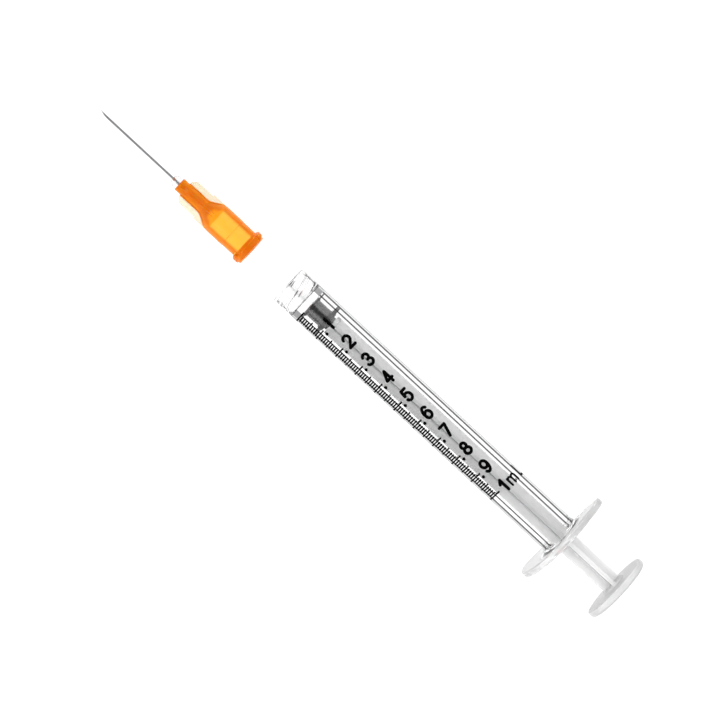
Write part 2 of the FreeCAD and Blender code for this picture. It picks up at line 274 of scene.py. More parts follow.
def piece(name, shells, body, finish, replaces=(), smooth=True):
    """One object made of closed shells, riding on a body and standing for CAD nodes."""
    start = 0
    vertices = []
    faces = []
    for points, quads, triangles in shells:
        vertices.append(points)
        faces += (quads + start).tolist() + (triangles + start).tolist()
        start += len(points)
    mesh = bpy.data.meshes.new(name)
    mesh.from_pydata(np.concatenate(vertices).tolist(), [], faces)
    mesh.polygons.foreach_set("use_smooth", np.full(len(faces), smooth))
    mesh.materials.append(finish)
    mesh.update()
    thing = added(name, mesh)
    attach(thing, body)
    if replaces:
        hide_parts(*replaces)


def smooth_step(value):
    """0 below 0, 1 above 1, and a smooth S between."""
    value = np.clip(value, 0, 1)
    return value * value * (3 - 2 * value)


def from_middle(turn, middle, period):
    """Signed angle to the nearest of several equally spaced middles."""
    return (turn - middle + period / 2) % period - period / 2


def flat_sides(turns, middle, half):
    """Radius of the flat sides of four ribs or fins: half a thickness over the sine of the angle from
    the nearest one's middle."""
    away = np.abs(from_middle(turns, middle, 90))
    return half / np.sin(np.radians(np.maximum(away, 0.01)))


def rib_columns(middle, half, core, crest, plain_step=3.0):
    """Turns of a grid's columns: evenly spaced in radius down the ribs' sides, and evenly in angle
    on their crests and between them."""
    edge = math.degrees(math.asin(half / crest))
    root = math.degrees(math.asin(half / core))
    side = np.degrees(np.arcsin(half / np.geomspace(crest, core, 12)))
    crown = np.array([0, 0.5, 0.9, 1.0]) * edge
    between = np.linspace(root, 45, max(2, round((45 - root) / plain_step)) + 1)
    eighth = np.unique(np.round(np.concatenate([crown, side, [edge * 1.04], between]), 4))
    quarter = np.concatenate([-eighth[:0:-1], eighth[:-1]])
    return np.concatenate([middle + 90 * k + quarter for k in range(4)])


def grip_outline(turns):
    """Radius of the finger grips' outline: an ellipse, cut straight at equal heights above and below."""
    sine = np.sin(np.radians(turns))
    cosine = np.cos(np.radians(turns))
    oval = 1 / np.sqrt((sine / GRIP_HALF_SPAN) ** 2 + (cosine / GRIP_HALF_HEIGHT) ** 2)
    return np.minimum(oval, GRIP_HALF_DEPTH / np.maximum(np.abs(cosine), 1e-6))


def thread_height(station, turn):
    """Height of the collar's two ridges above its wall, at a station and a turn.

    A ridge runs along a helix, one lead a turn. Its height is whole within half a crest of that line,
    falls smoothly to nothing at the foot, and fades out near the collar's mouth and floor.
    """
    helix = RIDGE_STATION + RISE_A_DEGREE * turn
    away = np.abs((station - helix + THREAD_PITCH / 2) % THREAD_PITCH - THREAD_PITCH / 2)
    form = 1 - smooth_step((away - RIDGE_CREST) / (RIDGE_FOOT - RIDGE_CREST))
    fade_in = smooth_step((station - RIDGE_INSET) / RIDGE_FADE_IN)
    fade_out = smooth_step((COLLAR_DEPTH - RIDGE_INSET - station) / RIDGE_FADE_OUT)
    return (COLLAR_BORE_R - RIDGE_R) * form * fade_in * fade_out


def barrel():
    """Barrel: one closed outline carried round the axis, from the collar's mouth along the outside,
    round the grips and back along the bore, the tip's channel, the tip and the threaded wall. The
    grips are bowed: a point moves towards the needle by the sagitta of its distance across."""
    turns = even_turns(240)
    tip_root_r = TIP_END_R + TAPER * COLLAR_DEPTH
    middle_r = (BARREL_R + GRIP_ROOT + GRIP_HALF_SPAN) / 2
    outside = profile([
        (0, COLLAR_BORE_R, 0.08),
        (0, BARREL_R, 0.22),
        (GRIP_FRONT, BARREL_R, GRIP_ROOT),
        (GRIP_FRONT, middle_r, 0),
        (GRIP_FRONT, GRIP_HALF_SPAN, GRIP_EDGE),
        (BARREL_REAR, GRIP_HALF_SPAN, GRIP_EDGE),
        (BARREL_REAR, middle_r, 0),
        (BARREL_REAR, BORE_R + BORE_LEAD, 0.1),
        (BARREL_REAR - BORE_LEAD, BORE_R, 0.25),
        (BORE_FRONT, BORE_R, 0.15),
        (BORE_FRONT, WALL_CHANNEL_R, 0.08),
        (0, TIP_CHANNEL_R, 0.1),
        (0, TIP_END_R, 0.15),
        (COLLAR_DEPTH, tip_root_r, 0.2),
        (COLLAR_DEPTH, COLLAR_BORE_R, 0.25)], closed=True, steps=7)
    wall = np.linspace(COLLAR_DEPTH - 0.4, 0.16, 72)
    outline = np.concatenate([outside, np.stack([wall, np.full_like(wall, COLLAR_BORE_R)], axis=-1)])
    station = outline[:, :1]
    radius = at_every_turn(outline, turns)
    edge_zone = 2 * GRIP_EDGE
    root = BARREL_R + GRIP_ROOT
    inset = GRIP_HALF_SPAN - radius
    share = np.clip((radius - root) / (GRIP_HALF_SPAN - edge_zone - root), 0, 1)
    rim = grip_outline(turns)[None, :]
    plate = np.where(inset < edge_zone, rim - inset, root + share * (rim - edge_zone - root))
    radius = np.where(radius > root, plate, radius)
    bow = GRIP_BOW_R - np.sqrt(GRIP_BOW_R ** 2 - (radius * np.sin(np.radians(turns))) ** 2)
    station = station - bow * np.clip((radius - BARREL_R) / GRIP_ROOT, 0, 1)
    on_wall = np.isclose(outline[:, 1:], COLLAR_BORE_R)
    radius = radius - np.where(on_wall, thread_height(station, turns[None, :]), 0)
    return shell(placed(station, turns[None, :], radius), looped=True)


def stopper():
    """Rubber stopper: an outline from the front face's middle over two rings and the waist, into the
    cavity for the rod's head, carried round the axis."""
    turns = even_turns(120)
    outline = profile([
        (STOPPER_FRONT, 0.3, 0),
        (STOPPER_FRONT, STOPPER_R, 0.22),
        (STOPPER_FRONT + FRONT_RING, STOPPER_R, 0.22),
        (STOPPER_FRONT + FRONT_RING, WAIST_R, 0.12),
        (STOPPER_REAR - REAR_RING, WAIST_R, 0.12),
        (STOPPER_REAR - REAR_RING, STOPPER_R, 0.25),
        (STOPPER_REAR, STOPPER_R, 0.25),
        (STOPPER_REAR, BOSS_R, 0.1),
        (BOSS_REAR, BOSS_R, 0.12),
        (BOSS_REAR, ROD_NECK_R + HEAD_CLEARANCE, 0.05),
        (HEAD_REAR + HEAD_CLEARANCE, ROD_NECK_R + HEAD_CLEARANCE, 0.05),
        (HEAD_REAR + HEAD_CLEARANCE, HEAD_R + HEAD_CLEARANCE, 0.05),
        (HEAD_FRONT + HEAD_NOSE, HEAD_R + HEAD_CLEARANCE, 0.05),
        (CAVITY_FRONT, ROD_NECK_R, 0.05),
        (CAVITY_FRONT, 0.3, 0)])
    rings = placed(outline[:, :1], turns[None, :], outline[:, 1:])
    return shell(rings, first_pole=placed(STOPPER_FRONT, 0, 0), last_pole=placed(CAVITY_FRONT, 0, 0))


def plunger_rod():
    """Plunger rod: head, neck and disc are turned, the long part is a cross of four ribs, and the
    thumb rest is turned again. Every ring has the same turns, close together at the ribs' edges."""
    turns = rib_columns(RIB_TURN, RIB_HALF, RIB_CORE_R, RIB_R)
    front = profile([
        (HEAD_FRONT, 0.2, 0),
        (HEAD_FRONT, ROD_NECK_R, 0.05),
        (HEAD_FRONT + HEAD_NOSE, HEAD_R, 0.1),
        (HEAD_REAR, HEAD_R, 0.05),
        (HEAD_REAR, ROD_NECK_R, 0.05),
        (DISC_FRONT, ROD_NECK_R, 0.05),
        (DISC_FRONT, DISC_R, 0.15),
        (RIB_FRONT, DISC_R, 0.04),
        (RIB_FRONT, RIB_R, 0)])
    rear = profile([
        (THUMB_FRONT - GUSSET_LENGTH, RIB_R, 0),
        (THUMB_FRONT, GUSSET_R, 0.3),
        (THUMB_FRONT, THUMB_R, 0.3),
        (THUMB_REAR, THUMB_R, 0.9),
        (THUMB_REAR, 0.3, 0)], steps=8)
    shares = np.array([0, 0.001, 0.25, 0.5, 0.75, 0.999, 1])
    long_part = RIB_FRONT + (THUMB_FRONT - GUSSET_LENGTH - RIB_FRONT) * shares
    station = np.concatenate([front[:, 0], long_part, rear[:, 0]])[:, None]
    cross = np.clip(flat_sides(turns, RIB_TURN, RIB_HALF), RIB_CORE_R, RIB_R)
    radius = np.concatenate([
        at_every_turn(front, turns),
        np.repeat(cross[None, :], len(long_part), axis=0),
        at_every_turn(rear, turns)])
    rings = placed(station, turns[None, :], radius)
    return shell(rings, first_pole=placed(HEAD_FRONT, 0, 0), last_pole=placed(THUMB_REAR, 0, 0))


def hub_fins(station, turn):
    """Radius of the four fins: their crest slants up at the front and steps up once, and their sides
    are flat; 0 where there is no fin."""
    ahead = station - HUB_FRONT
    crest = FIN_R - FIN_SLANT + np.clip(ahead - FIN_FRONT, 0, FIN_SLANT)
    crest = np.where(ahead > FIN_STEP, FIN_STEP_R, crest)
    there = (ahead > FIN_FRONT) & (station < SHOULDER)
    return np.where(there, np.minimum(crest, flat_sides(turn, HUB_TURN, FIN_HALF)), 0)


def hub_lugs(station, turn):
    """Radius of the two lock lugs: a flat crest along a helix, with sloping flanks and ends."""
    past = from_middle(turn, LUG_TURN, 180)
    away = np.abs(station - LUG_MIDDLE - RISE_A_DEGREE * past)
    flank = 1 - np.clip((away - LUG_CREST) / (LUG_FOOT - LUG_CREST), 0, 1)
    end = np.clip((LUG_HALF_ARC - np.abs(past)) / LUG_END_ARC, 0, 1)
    return HUB_REAR_R + (LUG_R - HUB_REAR_R) * flank * end - LUG_SINK


def needle_hub():
    """Needle hub: the outside takes the greatest of the turned body, the fins and the lugs at each
    station and turn, with rows a hair before and after each sudden step, and the inside is the turned
    socket, chamber and needle hole."""
    turns = rib_columns(HUB_TURN, FIN_HALF, HUB_NECK_R, FIN_STEP_R, plain_step=1.5)
    outside = profile([
        (HUB_FRONT, FRONT_SEAM_R, 0),
        (HUB_FRONT, HUB_NECK_R, 0.12),
        (SHOULDER - SHOULDER_LENGTH, HUB_NECK_R, 1.2),
        (SHOULDER, HUB_BODY_R, 1.6),
        (HUB_STEP, HUB_BODY_R, 0.03),
        (HUB_STEP + HUB_STEP_LENGTH, HUB_REAR_R, 0.03),
        (END_FLANGE - 0.1, HUB_REAR_R, 0.08),
        (END_FLANGE, END_FLANGE_R, 0.08),
        (HUB_REAR - 0.001, END_FLANGE_R, 0.12),
        (HUB_REAR, REAR_SEAM_R, 0)])
    hair = np.array([-0.002, 0.002])
    fin_and_lug_rows = [
        HUB_FRONT + FIN_FRONT + hair,
        HUB_FRONT + FIN_FRONT + np.array([0.3, 0.6, FIN_SLANT - 0.01, FIN_SLANT + 0.02]),
        HUB_FRONT + FIN_STEP + hair,
        HUB_FRONT + FIN_STEP + 10 * hair,
        SHOULDER + hair,
        np.linspace(LUG_MIDDLE - 1.3, HUB_REAR - 0.12, 34)]
    front_cap = outside[outside[:, 0] < HUB_FRONT + 0.001]
    rear_cap = outside[outside[:, 0] > HUB_REAR - 0.1]
    between = outside[len(front_cap):len(outside) - len(rear_cap)]
    stations = np.unique(np.concatenate([between[:, 0], *fin_and_lug_rows]))
    body = np.interp(stations, outside[:-1, 0], outside[:-1, 1])[:, None]
    skin = np.maximum(np.maximum(body, hub_fins(stations[:, None], turns)), 0)
    near_end = stations[:, None] > LUG_MIDDLE - LUG_REACH
    skin = np.where(near_end, np.maximum(skin, hub_lugs(stations[:, None], turns)), skin)
    inside = profile([
        (HUB_REAR, REAR_SEAM_R, 0),
        (HUB_REAR, SOCKET_MOUTH_R, 0.1),
        (HUB_REAR - SOCKET_DEPTH, SOCKET_MOUTH_R - TAPER * SOCKET_DEPTH, 0.06),
        (HUB_REAR - SOCKET_DEPTH, CHAMBER_R, 0.06),
        (HUB_REAR - CHAMBER_DEPTH, CHAMBER_R, 0.1),
        (HUB_REAR - CHAMBER_DEPTH - CHAMBER_CONE, NEEDLE_HOLE_R, 0.05),
        (HUB_FRONT + GLUE_WELL, NEEDLE_HOLE_R, 0.05),
        (HUB_FRONT, GLUE_WELL_R, 0.05),
        (HUB_FRONT, FRONT_SEAM_R, 0)])[1:-1]
    outline_station = np.concatenate([front_cap[:, 0], stations, rear_cap[:, 0], inside[:, 0]])[:, None]
    radius = np.concatenate([
        at_every_turn(front_cap, turns),
        skin,
        at_every_turn(rear_cap, turns),
        at_every_turn(inside, turns)])
    return shell(placed(outline_station, turns[None, :], radius), looped=True)


def ground_end(turn, radius):
    """Station at which a tube wall begins at a turn: the farthest of three ground planes, each of which
    rises from its depth at the tip by the tangent of its angle."""
    planes = []
    facets = [(FACET_ANGLE, middle, FACET_SINK) for middle in (FACET_TURN, -FACET_TURN)]
    for angle, middle, depth in [(BEVEL_ANGLE, 0, 0), *facets]:
        height = radius * np.cos(np.radians(turn - BEVEL_TURN - middle)) + NEEDLE_R - depth
        planes.append(height / math.tan(math.radians(angle)))
    return NEEDLE_TIP + np.maximum.reduce(planes)


def cannula():
    """Needle tube: the outer wall from its ground end to its held end, and back along the bore."""
    turns = even_turns(48)
    held_end = HUB_FRONT + NEEDLE_HELD
    steps = np.concatenate([[0, 0.01, 0.03], np.linspace(0.08, 1, 12)])[:, None]
    outer_start = ground_end(turns, NEEDLE_R)[None, :]
    inner_start = ground_end(turns, NEEDLE_BORE_R)[None, :]
    outer = outer_start + (held_end - outer_start) * steps
    inner = inner_start + (held_end - inner_start) * steps[::-1]
    station = np.concatenate([outer, inner])
    radius = np.concatenate([np.full_like(outer, NEEDLE_R), np.full_like(inner, NEEDLE_BORE_R)])
    return shell(placed(station, turns[None, :], radius), looped=True)


def adhesive_bead():
    """Adhesive: a quarter oval, a little fuller than an ellipse, from the neck's rim to the tube,
    carried round, and the cone that fills the well inside the neck."""
    turns = even_turns(72)
    lean = np.linspace(0, math.pi / 2, 14)
    dome_station = HUB_FRONT - GLUE_LENGTH * np.sin(lean)
    dome_radius = GLUE_TOP_R + (GLUE_R - GLUE_TOP_R) * np.cos(lean) ** 0.8
    within = np.array([
        (HUB_FRONT - GLUE_LENGTH, GLUE_BORE_R),
        (HUB_FRONT, GLUE_BORE_R),
        (HUB_FRONT + GLUE_WELL - 0.05, GLUE_BORE_R),
        (HUB_FRONT - 0.01, GLUE_WELL_R - 0.05),
        (HUB_FRONT - 0.02, GLUE_R - 0.1)])
    outline = np.concatenate([np.stack([dome_station, dome_radius], axis=-1), within])
    return shell(placed(outline[:, :1], turns[None, :], outline[:, 1:]), looped=True)


# Print on the barrel: tick marks on one side of the camera's line, numerals beside them
INK_FOOT = BARREL_R + 0.003
INK_TOP = BARREL_R + 0.016
DIVISIONS = 100
DIVISION = SCALE_LENGTH / DIVISIONS
SCALE_START = STOPPER_FRONT
TICK_HALF = 0.18
SHORT_TICK = (-1.5, 29.0)
MIDDLE_TICK = (-6.0, 35.0)
LONG_TICK = (-13.0, 44.0)
NUMERAL_LEFT = -24.6
DOT_TURN = -12.0
DOT_R = 0.38
NUMERAL_HEIGHT = 3.3
NUMERAL_WIDTH = 2.1
STROKE_HALF = 0.33
NUMERAL_SHIFT = 0.25
PRINT_TWIST = 0.1
PRINT_MIDDLE = SCALE_START + 11.0

# The last numeral and its unit: where each sign starts, and the unit's narrower strokes
LAST_LEFT = NUMERAL_LEFT + 3.0
M_LEFT = -48.0
M_WIDTH = 2.15
M_STROKE_HALF = 0.24
L_LEFT = -96.5
L_STROKE_HALF = 0.26


def ink_patch(stations, turns, half_widths, across):
    """A thin closed shell on the barrel along a path given by station and turn arrays.

    The cross section runs from one side to the other on the foot's radius and back on the top's; its
    half width may change along the path. across is the unit sideways step (station, turn in mm). The
    whole print is twisted a little round the barrel, by so many degrees a millimetre.
    """
    turns = turns - PRINT_TWIST * (stations - PRINT_MIDDLE)
    sides = np.linspace(-1, 1, 5)
    loop_side = np.concatenate([sides, sides[::-1]])
    loop_radius = np.concatenate([np.full_like(sides, INK_FOOT), np.full_like(sides, INK_TOP)])
    reach = half_widths[:, None] * loop_side[None, :]
    per_mm = math.degrees(1 / BARREL_R)
    station = stations[:, None] + reach * across[0][:, None]
    turn = turns[:, None] + reach * across[1][:, None] * per_mm
    rings = placed(station, turn, loop_radius[None, :])
    ends = [placed(stations[k], turns[k], (INK_FOOT + INK_TOP) / 2) for k in (0, -1)]
    return shell(rings, first_pole=ends[0], last_pole=ends[1])


def ticks():
    """Tick marks: a straight patch at each division, long at the tenths and middling half way."""
    shells = []
    for index in range(DIVISIONS + 1):
        low, high = LONG_TICK if index % 10 == 0 else MIDDLE_TICK if index % 5 == 0 else SHORT_TICK
        turns = np.linspace(low, high, 12)
        stations = np.full_like(turns, SCALE_START + DIVISION * index)
        across = np.ones_like(turns), np.zeros_like(turns)
        shells.append(ink_patch(stations, turns, np.full_like(turns, TICK_HALF), across))
    return shells


def straight(*corners):
    """Straight strokes from each corner to the next, 8 points each."""
    share = np.linspace(0, 1, 8)[:, None]
    corners = [np.array(corner, float) for corner in corners]
    return [a + (b - a) * share for a, b in zip(corners, corners[1:])]


def curved(centre, radii, start, end):
    """A stroke along an ellipse from one angle to another, in degrees from the reading direction."""
    angle = np.radians(np.linspace(start, end, 28))
    return [np.array(centre) + np.stack([radii[0] * np.cos(angle), radii[1] * np.sin(angle)], axis=-1)]


# Strokes of each sign, along their middle, in a box one high and one wide, or wider for the m. The
# stem is a plain 1.
SIGNS = {
    "stem": straight((0.5, 1.0), (0.5, 0.0)),
    "1": straight((0.06, 0.7), (0.5, 1.0)) + straight((0.5, 1.0), (0.5, 0.0)),
    "2": curved((0.5, 0.7), (0.5, 0.3), 165, -38) + straight((0.89, 0.52), (0.0, 0.0), (1.0, 0.0)),
    "3": curved((0.46, 0.75), (0.44, 0.25), 160, -90) + curved((0.46, 0.26), (0.52, 0.26), 90, -160),
    "4": straight((1.0, 0.27), (0.0, 0.27), (0.7, 1.0), (0.7, 0.0)),
    "5": straight((0.9, 1.0), (0.18, 1.0), (0.06, 0.5)) + curved((0.47, 0.33), (0.5, 0.33), 142, -155),
    "6": curved((0.5, 0.31), (0.48, 0.31), 0, 360) + curved((0.56, 0.42), (0.55, 0.58), 52, 190),
    "7": straight((0.0, 1.0), (1.0, 1.0), (0.36, 0.0)),
    "8": curved((0.5, 0.76), (0.4, 0.24), 0, 360) + curved((0.5, 0.27), (0.5, 0.27), 0, 360),
    "9": curved((0.5, 0.69), (0.48, 0.31), 0, 360) + curved((0.44, 0.58), (0.55, 0.58), -128, 10),
    "m": straight((0.0, 0.0), (0.0, 0.62)) + straight((0.62, 0.0), (0.62, 0.38))
         + straight((1.24, 0.0), (1.24, 0.38)) + curved((0.31, 0.38), (0.31, 0.24), 180, 0)
         + curved((0.93, 0.38), (0.31, 0.24), 180, 0),
    "L": straight((0.0, 1.0), (0.0, 0.0), (0.6, 0.0)),
}


def sign_strokes(sign, tick_station, left_turn, width=NUMERAL_WIDTH, half=STROKE_HALF):
    """Patches of one sign beside a tick: it reads towards smaller turns and its top faces the needle.

    Each stroke is widened to a round-ended band: near an end its half width is the half chord of a
    circle about that end.
    """
    per_mm = math.degrees(1 / BARREL_R)
    size = np.array([width - 2 * half, NUMERAL_HEIGHT - 2 * half])
    base = tick_station + NUMERAL_HEIGHT / 2 - NUMERAL_SHIFT - half
    shells = []
    for stroke in SIGNS[sign]:
        path = stroke * size + np.array([half, 0])
        run = np.concatenate([[0], np.cumsum(np.linalg.norm(np.diff(path, axis=0), axis=1))])
        length = run[-1]
        ends = half * (1 - np.cos(np.linspace(0.12, math.pi / 2, 6)))
        inner = run[(run > 0.02) & (run < length - 0.02)]
        along = np.concatenate([ends - half, inner, (length + half - ends)[::-1]])
        start_way = (path[1] - path[0]) / np.linalg.norm(path[1] - path[0])
        end_way = (path[-1] - path[-2]) / np.linalg.norm(path[-1] - path[-2])
        spots = np.stack([np.interp(along, run, path[:, k]) for k in range(2)], axis=-1)
        spots += np.minimum(along, 0)[:, None] * start_way + np.maximum(along - length, 0)[:, None] * end_way
        from_end = np.minimum(along + half, length + half - along)
        half_widths = np.sqrt(half ** 2 - np.clip(half - from_end, 0, half) ** 2)
        ways = np.gradient(spots, axis=0)
        ways /= np.linalg.norm(ways, axis=1)[:, None]
        across = ways[:, 0], -ways[:, 1]
        stations = base - spots[:, 1]
        turns = left_turn - spots[:, 0] * per_mm
        shells.append(ink_patch(stations, turns, half_widths, across))
    return shells


def dot(tick_station):
    """The round decimal point beside a numeral's foot."""
    lean = np.linspace(0.1, math.pi - 0.1, 9)
    base = tick_station + NUMERAL_HEIGHT / 2 - NUMERAL_SHIFT - DOT_R
    across = np.zeros_like(lean), np.ones_like(lean)
    return ink_patch(base - DOT_R * np.cos(lean), np.full_like(lean, DOT_TURN), DOT_R * np.sin(lean), across)


def numerals():
    """Tenths from .1 to .9, and the last one in full with its unit."""
    shells = []
    for tenth in range(1, 10):
        tick_station = SCALE_START + DIVISION * 10 * tenth
        shells.append(dot(tick_station))
        shells += sign_strokes("stem" if tenth == 1 else str(tenth), tick_station, NUMERAL_LEFT)
    last = SCALE_START + SCALE_LENGTH
    shells += sign_strokes("1", last, LAST_LEFT)
    shells += sign_strokes("m", last, M_LEFT, width=M_WIDTH, half=M_STROKE_HALF)
    shells += sign_strokes("L", last, L_LEFT, half=L_STROKE_HALF)
    return shells


class Signal:
    """A shader value: sums, differences, products and powers of signals and numbers add Math nodes."""

    def __init__(self, finish, socket):
        self.finish = finish
        self.socket = socket

    def maths(self, operation, *terms):
        """The result of a Math node on these terms."""
        return self.finish.node("ShaderNodeMath", {"operation": operation}, dict(enumerate(terms)))

    def __add__(self, other):
        return self.maths("ADD", self, other)

    __radd__ = __add__

    def __sub__(self, other):
        return self.maths("SUBTRACT", self, other)

    def __rsub__(self, other):
        return self.maths("SUBTRACT", other, self)

    def __mul__(self, other):
        return self.maths("MULTIPLY", self, other)

    __rmul__ = __mul__

    def __pow__(self, other):
        return self.maths("POWER", self, other)

    def __rpow__(self, other):
        return self.maths("POWER", other, self)


class Finish:
    """A procedural material or sky: a shader and the nodes that vary it."""

    def __init__(self, name, shader="Principled BSDF", store=bpy.data.materials, **constants):
        self.material = store.new(name)
        self.material.use_nodes = True
        self.tree = self.material.node_tree
        self.shader = self.tree.nodes[shader]
        self.set(self.shader, constants)

    def set(self, node, values):
        """Values or signals into a node's sockets, by name or number."""
        for key, value in values.items():
            socket = node.inputs[key]
            if isinstance(value, Signal):
                self.tree.links.new(value.socket, socket)
            elif socket.type == "RGBA":
                socket.default_value = (*value, 1.0)
            else:
                socket.default_value = value

    def node(self, kind, settings=None, values=None, output=0):
        """A node of that kind: its settings first, then its sockets; one of its outputs as a signal."""
        made = self.tree.nodes.new(kind)
        for key, value in (settings or {}).items():
            if key == "stops":
                stops = made.color_ramp.elements
                for index, (place, colour) in enumerate(value):
                    stop = stops[index] if index < 2 else stops.new(place)
                    stop.position = place
                    stop.color = (*colour, 1.0)
            else:
                setattr(made, key, value)
        self.set(made, values or {})
        return Signal(self, made.outputs[output])

    def here(self, stretch=(1.0, 1.0, 1.0)):
        """Place on the piece in millimetres along, across and above the axis, each divided by a stretch."""
        object_place = self.node("ShaderNodeTexCoord", output="Object")
        settings = {"vector_type": "TEXTURE"}
        values = {"Vector": object_place, "Location": tuple(MOUTH), "Rotation": (0.0, -PITCH, 0.0),
                  "Scale": tuple(MM * s for s in stretch)}
        return self.node("ShaderNodeMapping", settings, values)

    def noise(self, scale, detail=3.0, stretch=(1.0, 1.0, 1.0)):
        """Cloudy noise from 0 to 1 with about that many patches a millimetre."""
        values = {"Vector": self.here(stretch), "Scale": scale, "Detail": detail}
        return self.node("ShaderNodeTexNoise", None, values)

    def split(self, vector):
        """The three parts of a vector."""
        made = self.node("ShaderNodeSeparateXYZ", None, {"Vector": vector}).socket.node
        return [Signal(self, part) for part in made.outputs]

    def step(self, value, low, high):
        """0 up to a low value, 1 from a high one, and a smooth S between."""
        settings = {"interpolation_type": "SMOOTHSTEP"}
        return self.node("ShaderNodeMapRange", settings, {"Value": value, "From Min": low, "From Max": high})

    def size(self, value):
        """A value without its sign."""
        return value.maths("ABSOLUTE", value)

    def mix(self, share, first, second):
        """A colour between two colours by a share."""
        values = {0: share, 6: first, 7: second}
        return self.node("ShaderNodeMix", {"data_type": "RGBA"}, values, output=2)

    def facing(self):
        """0 where the surface is seen square on, 1 where it is seen edge on."""
        return self.node("ShaderNodeLayerWeight", None, {"Blend": 0.5}, output="Facing")

    def square_on(self):
        """1 where the surface is seen square on, falling to 0 where it is seen at a slant."""
        return self.step(self.facing(), 0.6, 0.08)

    def ramp(self, value, *levels):
        """A colour read at a value: even from one place to another in each (colour, first, last) level,
        and sloping from each level to the next."""
        stops = [(place, colour) for colour, *ends in levels for place in ends]
        return self.node("ShaderNodeValToRGB", {"stops": stops}, {"Fac": value})

    def principled(self):
        """A further Principled shader, to be blended over the first."""
        return self.node("ShaderNodeBsdfPrincipled").socket.node

    def blend(self, share, other):
        """A second shader over the first by a share."""
        surface = self.tree.nodes["Material Output"].inputs["Surface"]
        both = self.node("ShaderNodeMixShader", None, {0: share})
        self.tree.links.new(self.shader.outputs[0], both.socket.node.inputs[1])
        self.tree.links.new(other.outputs[0], both.socket.node.inputs[2])
        self.tree.links.new(both.socket, surface)

    def relief(self, height, strength, distance):
        """Bump from a height of 0 to 1, distance in metres."""
        values = {"Strength": strength, "Distance": distance, "Height": height}
        self.set(self.shader, {"Normal": self.node("ShaderNodeBump", None, values)})

    def vary(self, **signals):
        """Signals into the shader, with underscores for the spaces in socket names."""
        self.set(self.shader, {key.replace("_", " "): value for key, value in signals.items()})


# Colours that more than one material mixes from
BLACK = (0.0, 0.0, 0.0)
WHITE = (1.0, 1.0, 1.0)


def clear_moulding():
    """Clear polished plastic of the barrel, with painted shade in its colour by the angle at which it is
    seen: two painted shade lines along the tube at the angles at which the bore's edge shows, a painted
    shade band on the solid wall behind the collar, and a broken painted shade line along the collar's
    outline. The grips are frosted, with a painted glow."""
    finish = Finish("clear_moulded_plastic", **{"IOR": 1.57, "Transmission Weight": 1.0})
    clear = (0.996, 0.997, 0.998)
    # Colours of the painted shade lines and band, and of the greyer painted outline
    dark = (0.003, 0.003, 0.0032)
    painted_band_shade = (0.09, 0.09, 0.095)
    edge = (0.55, 0.56, 0.57)
    pale = (0.9, 0.9, 0.9)
    # Painted shade by the angle at which the surface is seen: lines on the tube, a band on the wall behind
    # the collar, a broken line on the collar, greyer at the outline
    facing = finish.facing()
    painted_tube_shade_lines = finish.ramp(
        facing, (clear, 0.0, 0.208), (dark, 0.226, 0.274), (clear, 0.296, 0.435), (dark, 0.46, 0.58),
        (edge, 0.615, 1.0))
    painted_wall_shade_band = finish.ramp(facing, (clear, 0.0, 0.19), (painted_band_shade, 0.21, 0.56), (edge, 0.62, 1.0))
    painted_collar_shade_line = finish.ramp(facing, (clear, 0.0, 0.54), (dark, 0.575, 0.66), (pale, 0.7, 1.0))
    station, across, above = finish.split(finish.here())
    square = across * across + above * above
    outer = finish.step(square, (BARREL_R - 0.15) ** 2, (BARREL_R - 0.1) ** 2)
    outer = outer * finish.step(square, (BARREL_R + 0.35) ** 2, (BARREL_R + 0.25) ** 2)
    tube = outer * finish.step(station, BORE_FRONT, BORE_FRONT + 0.1)
    wall = outer * finish.step(station, COLLAR_DEPTH - 0.1, COLLAR_DEPTH) - tube
    collar = outer * finish.step(station, 0.5, 0.7) * finish.step(station, COLLAR_DEPTH, COLLAR_DEPTH - 0.1)
    collar = collar * finish.step(finish.noise(0.7, 1.0), 0.44, 0.5)
    colour = finish.mix(wall, finish.mix(tube, clear, painted_tube_shade_lines), painted_wall_shade_band)
    finish.vary(Base_Color=finish.mix(collar, colour, painted_collar_shade_line),
                Roughness=0.012 + 0.02 * finish.noise(1.2))
    root_r = BARREL_R + GRIP_ROOT
    grips = finish.step(square, (root_r - 0.05) ** 2, (root_r + 0.55) ** 2)
    grips = grips * finish.step(station, GRIP_FRONT - 1.0, GRIP_FRONT - 0.6)
    # Painted glow: the frosted grips, half blended in, give off a grey glow
    finish.blend(0.5 * grips, frosted_surface(finish, finish.principled(), 1.0, (0.5, 0.5, 0.5)))
    return finish.material


def black_rubber():
    """Moulded black rubber: satin with a fine grain."""
    finish = Finish("black_rubber", **{"Specular IOR Level": 0.9, "IOR": 1.5})
    finish.vary(Base_Color=finish.mix(finish.noise(2.0), (0.002, 0.002, 0.0022), (0.006, 0.006, 0.0065)),
                Roughness=0.2 + 0.1 * finish.noise(3.0))
    finish.relief(finish.noise(9.0), 0.2, 0.00003)
    return finish.material


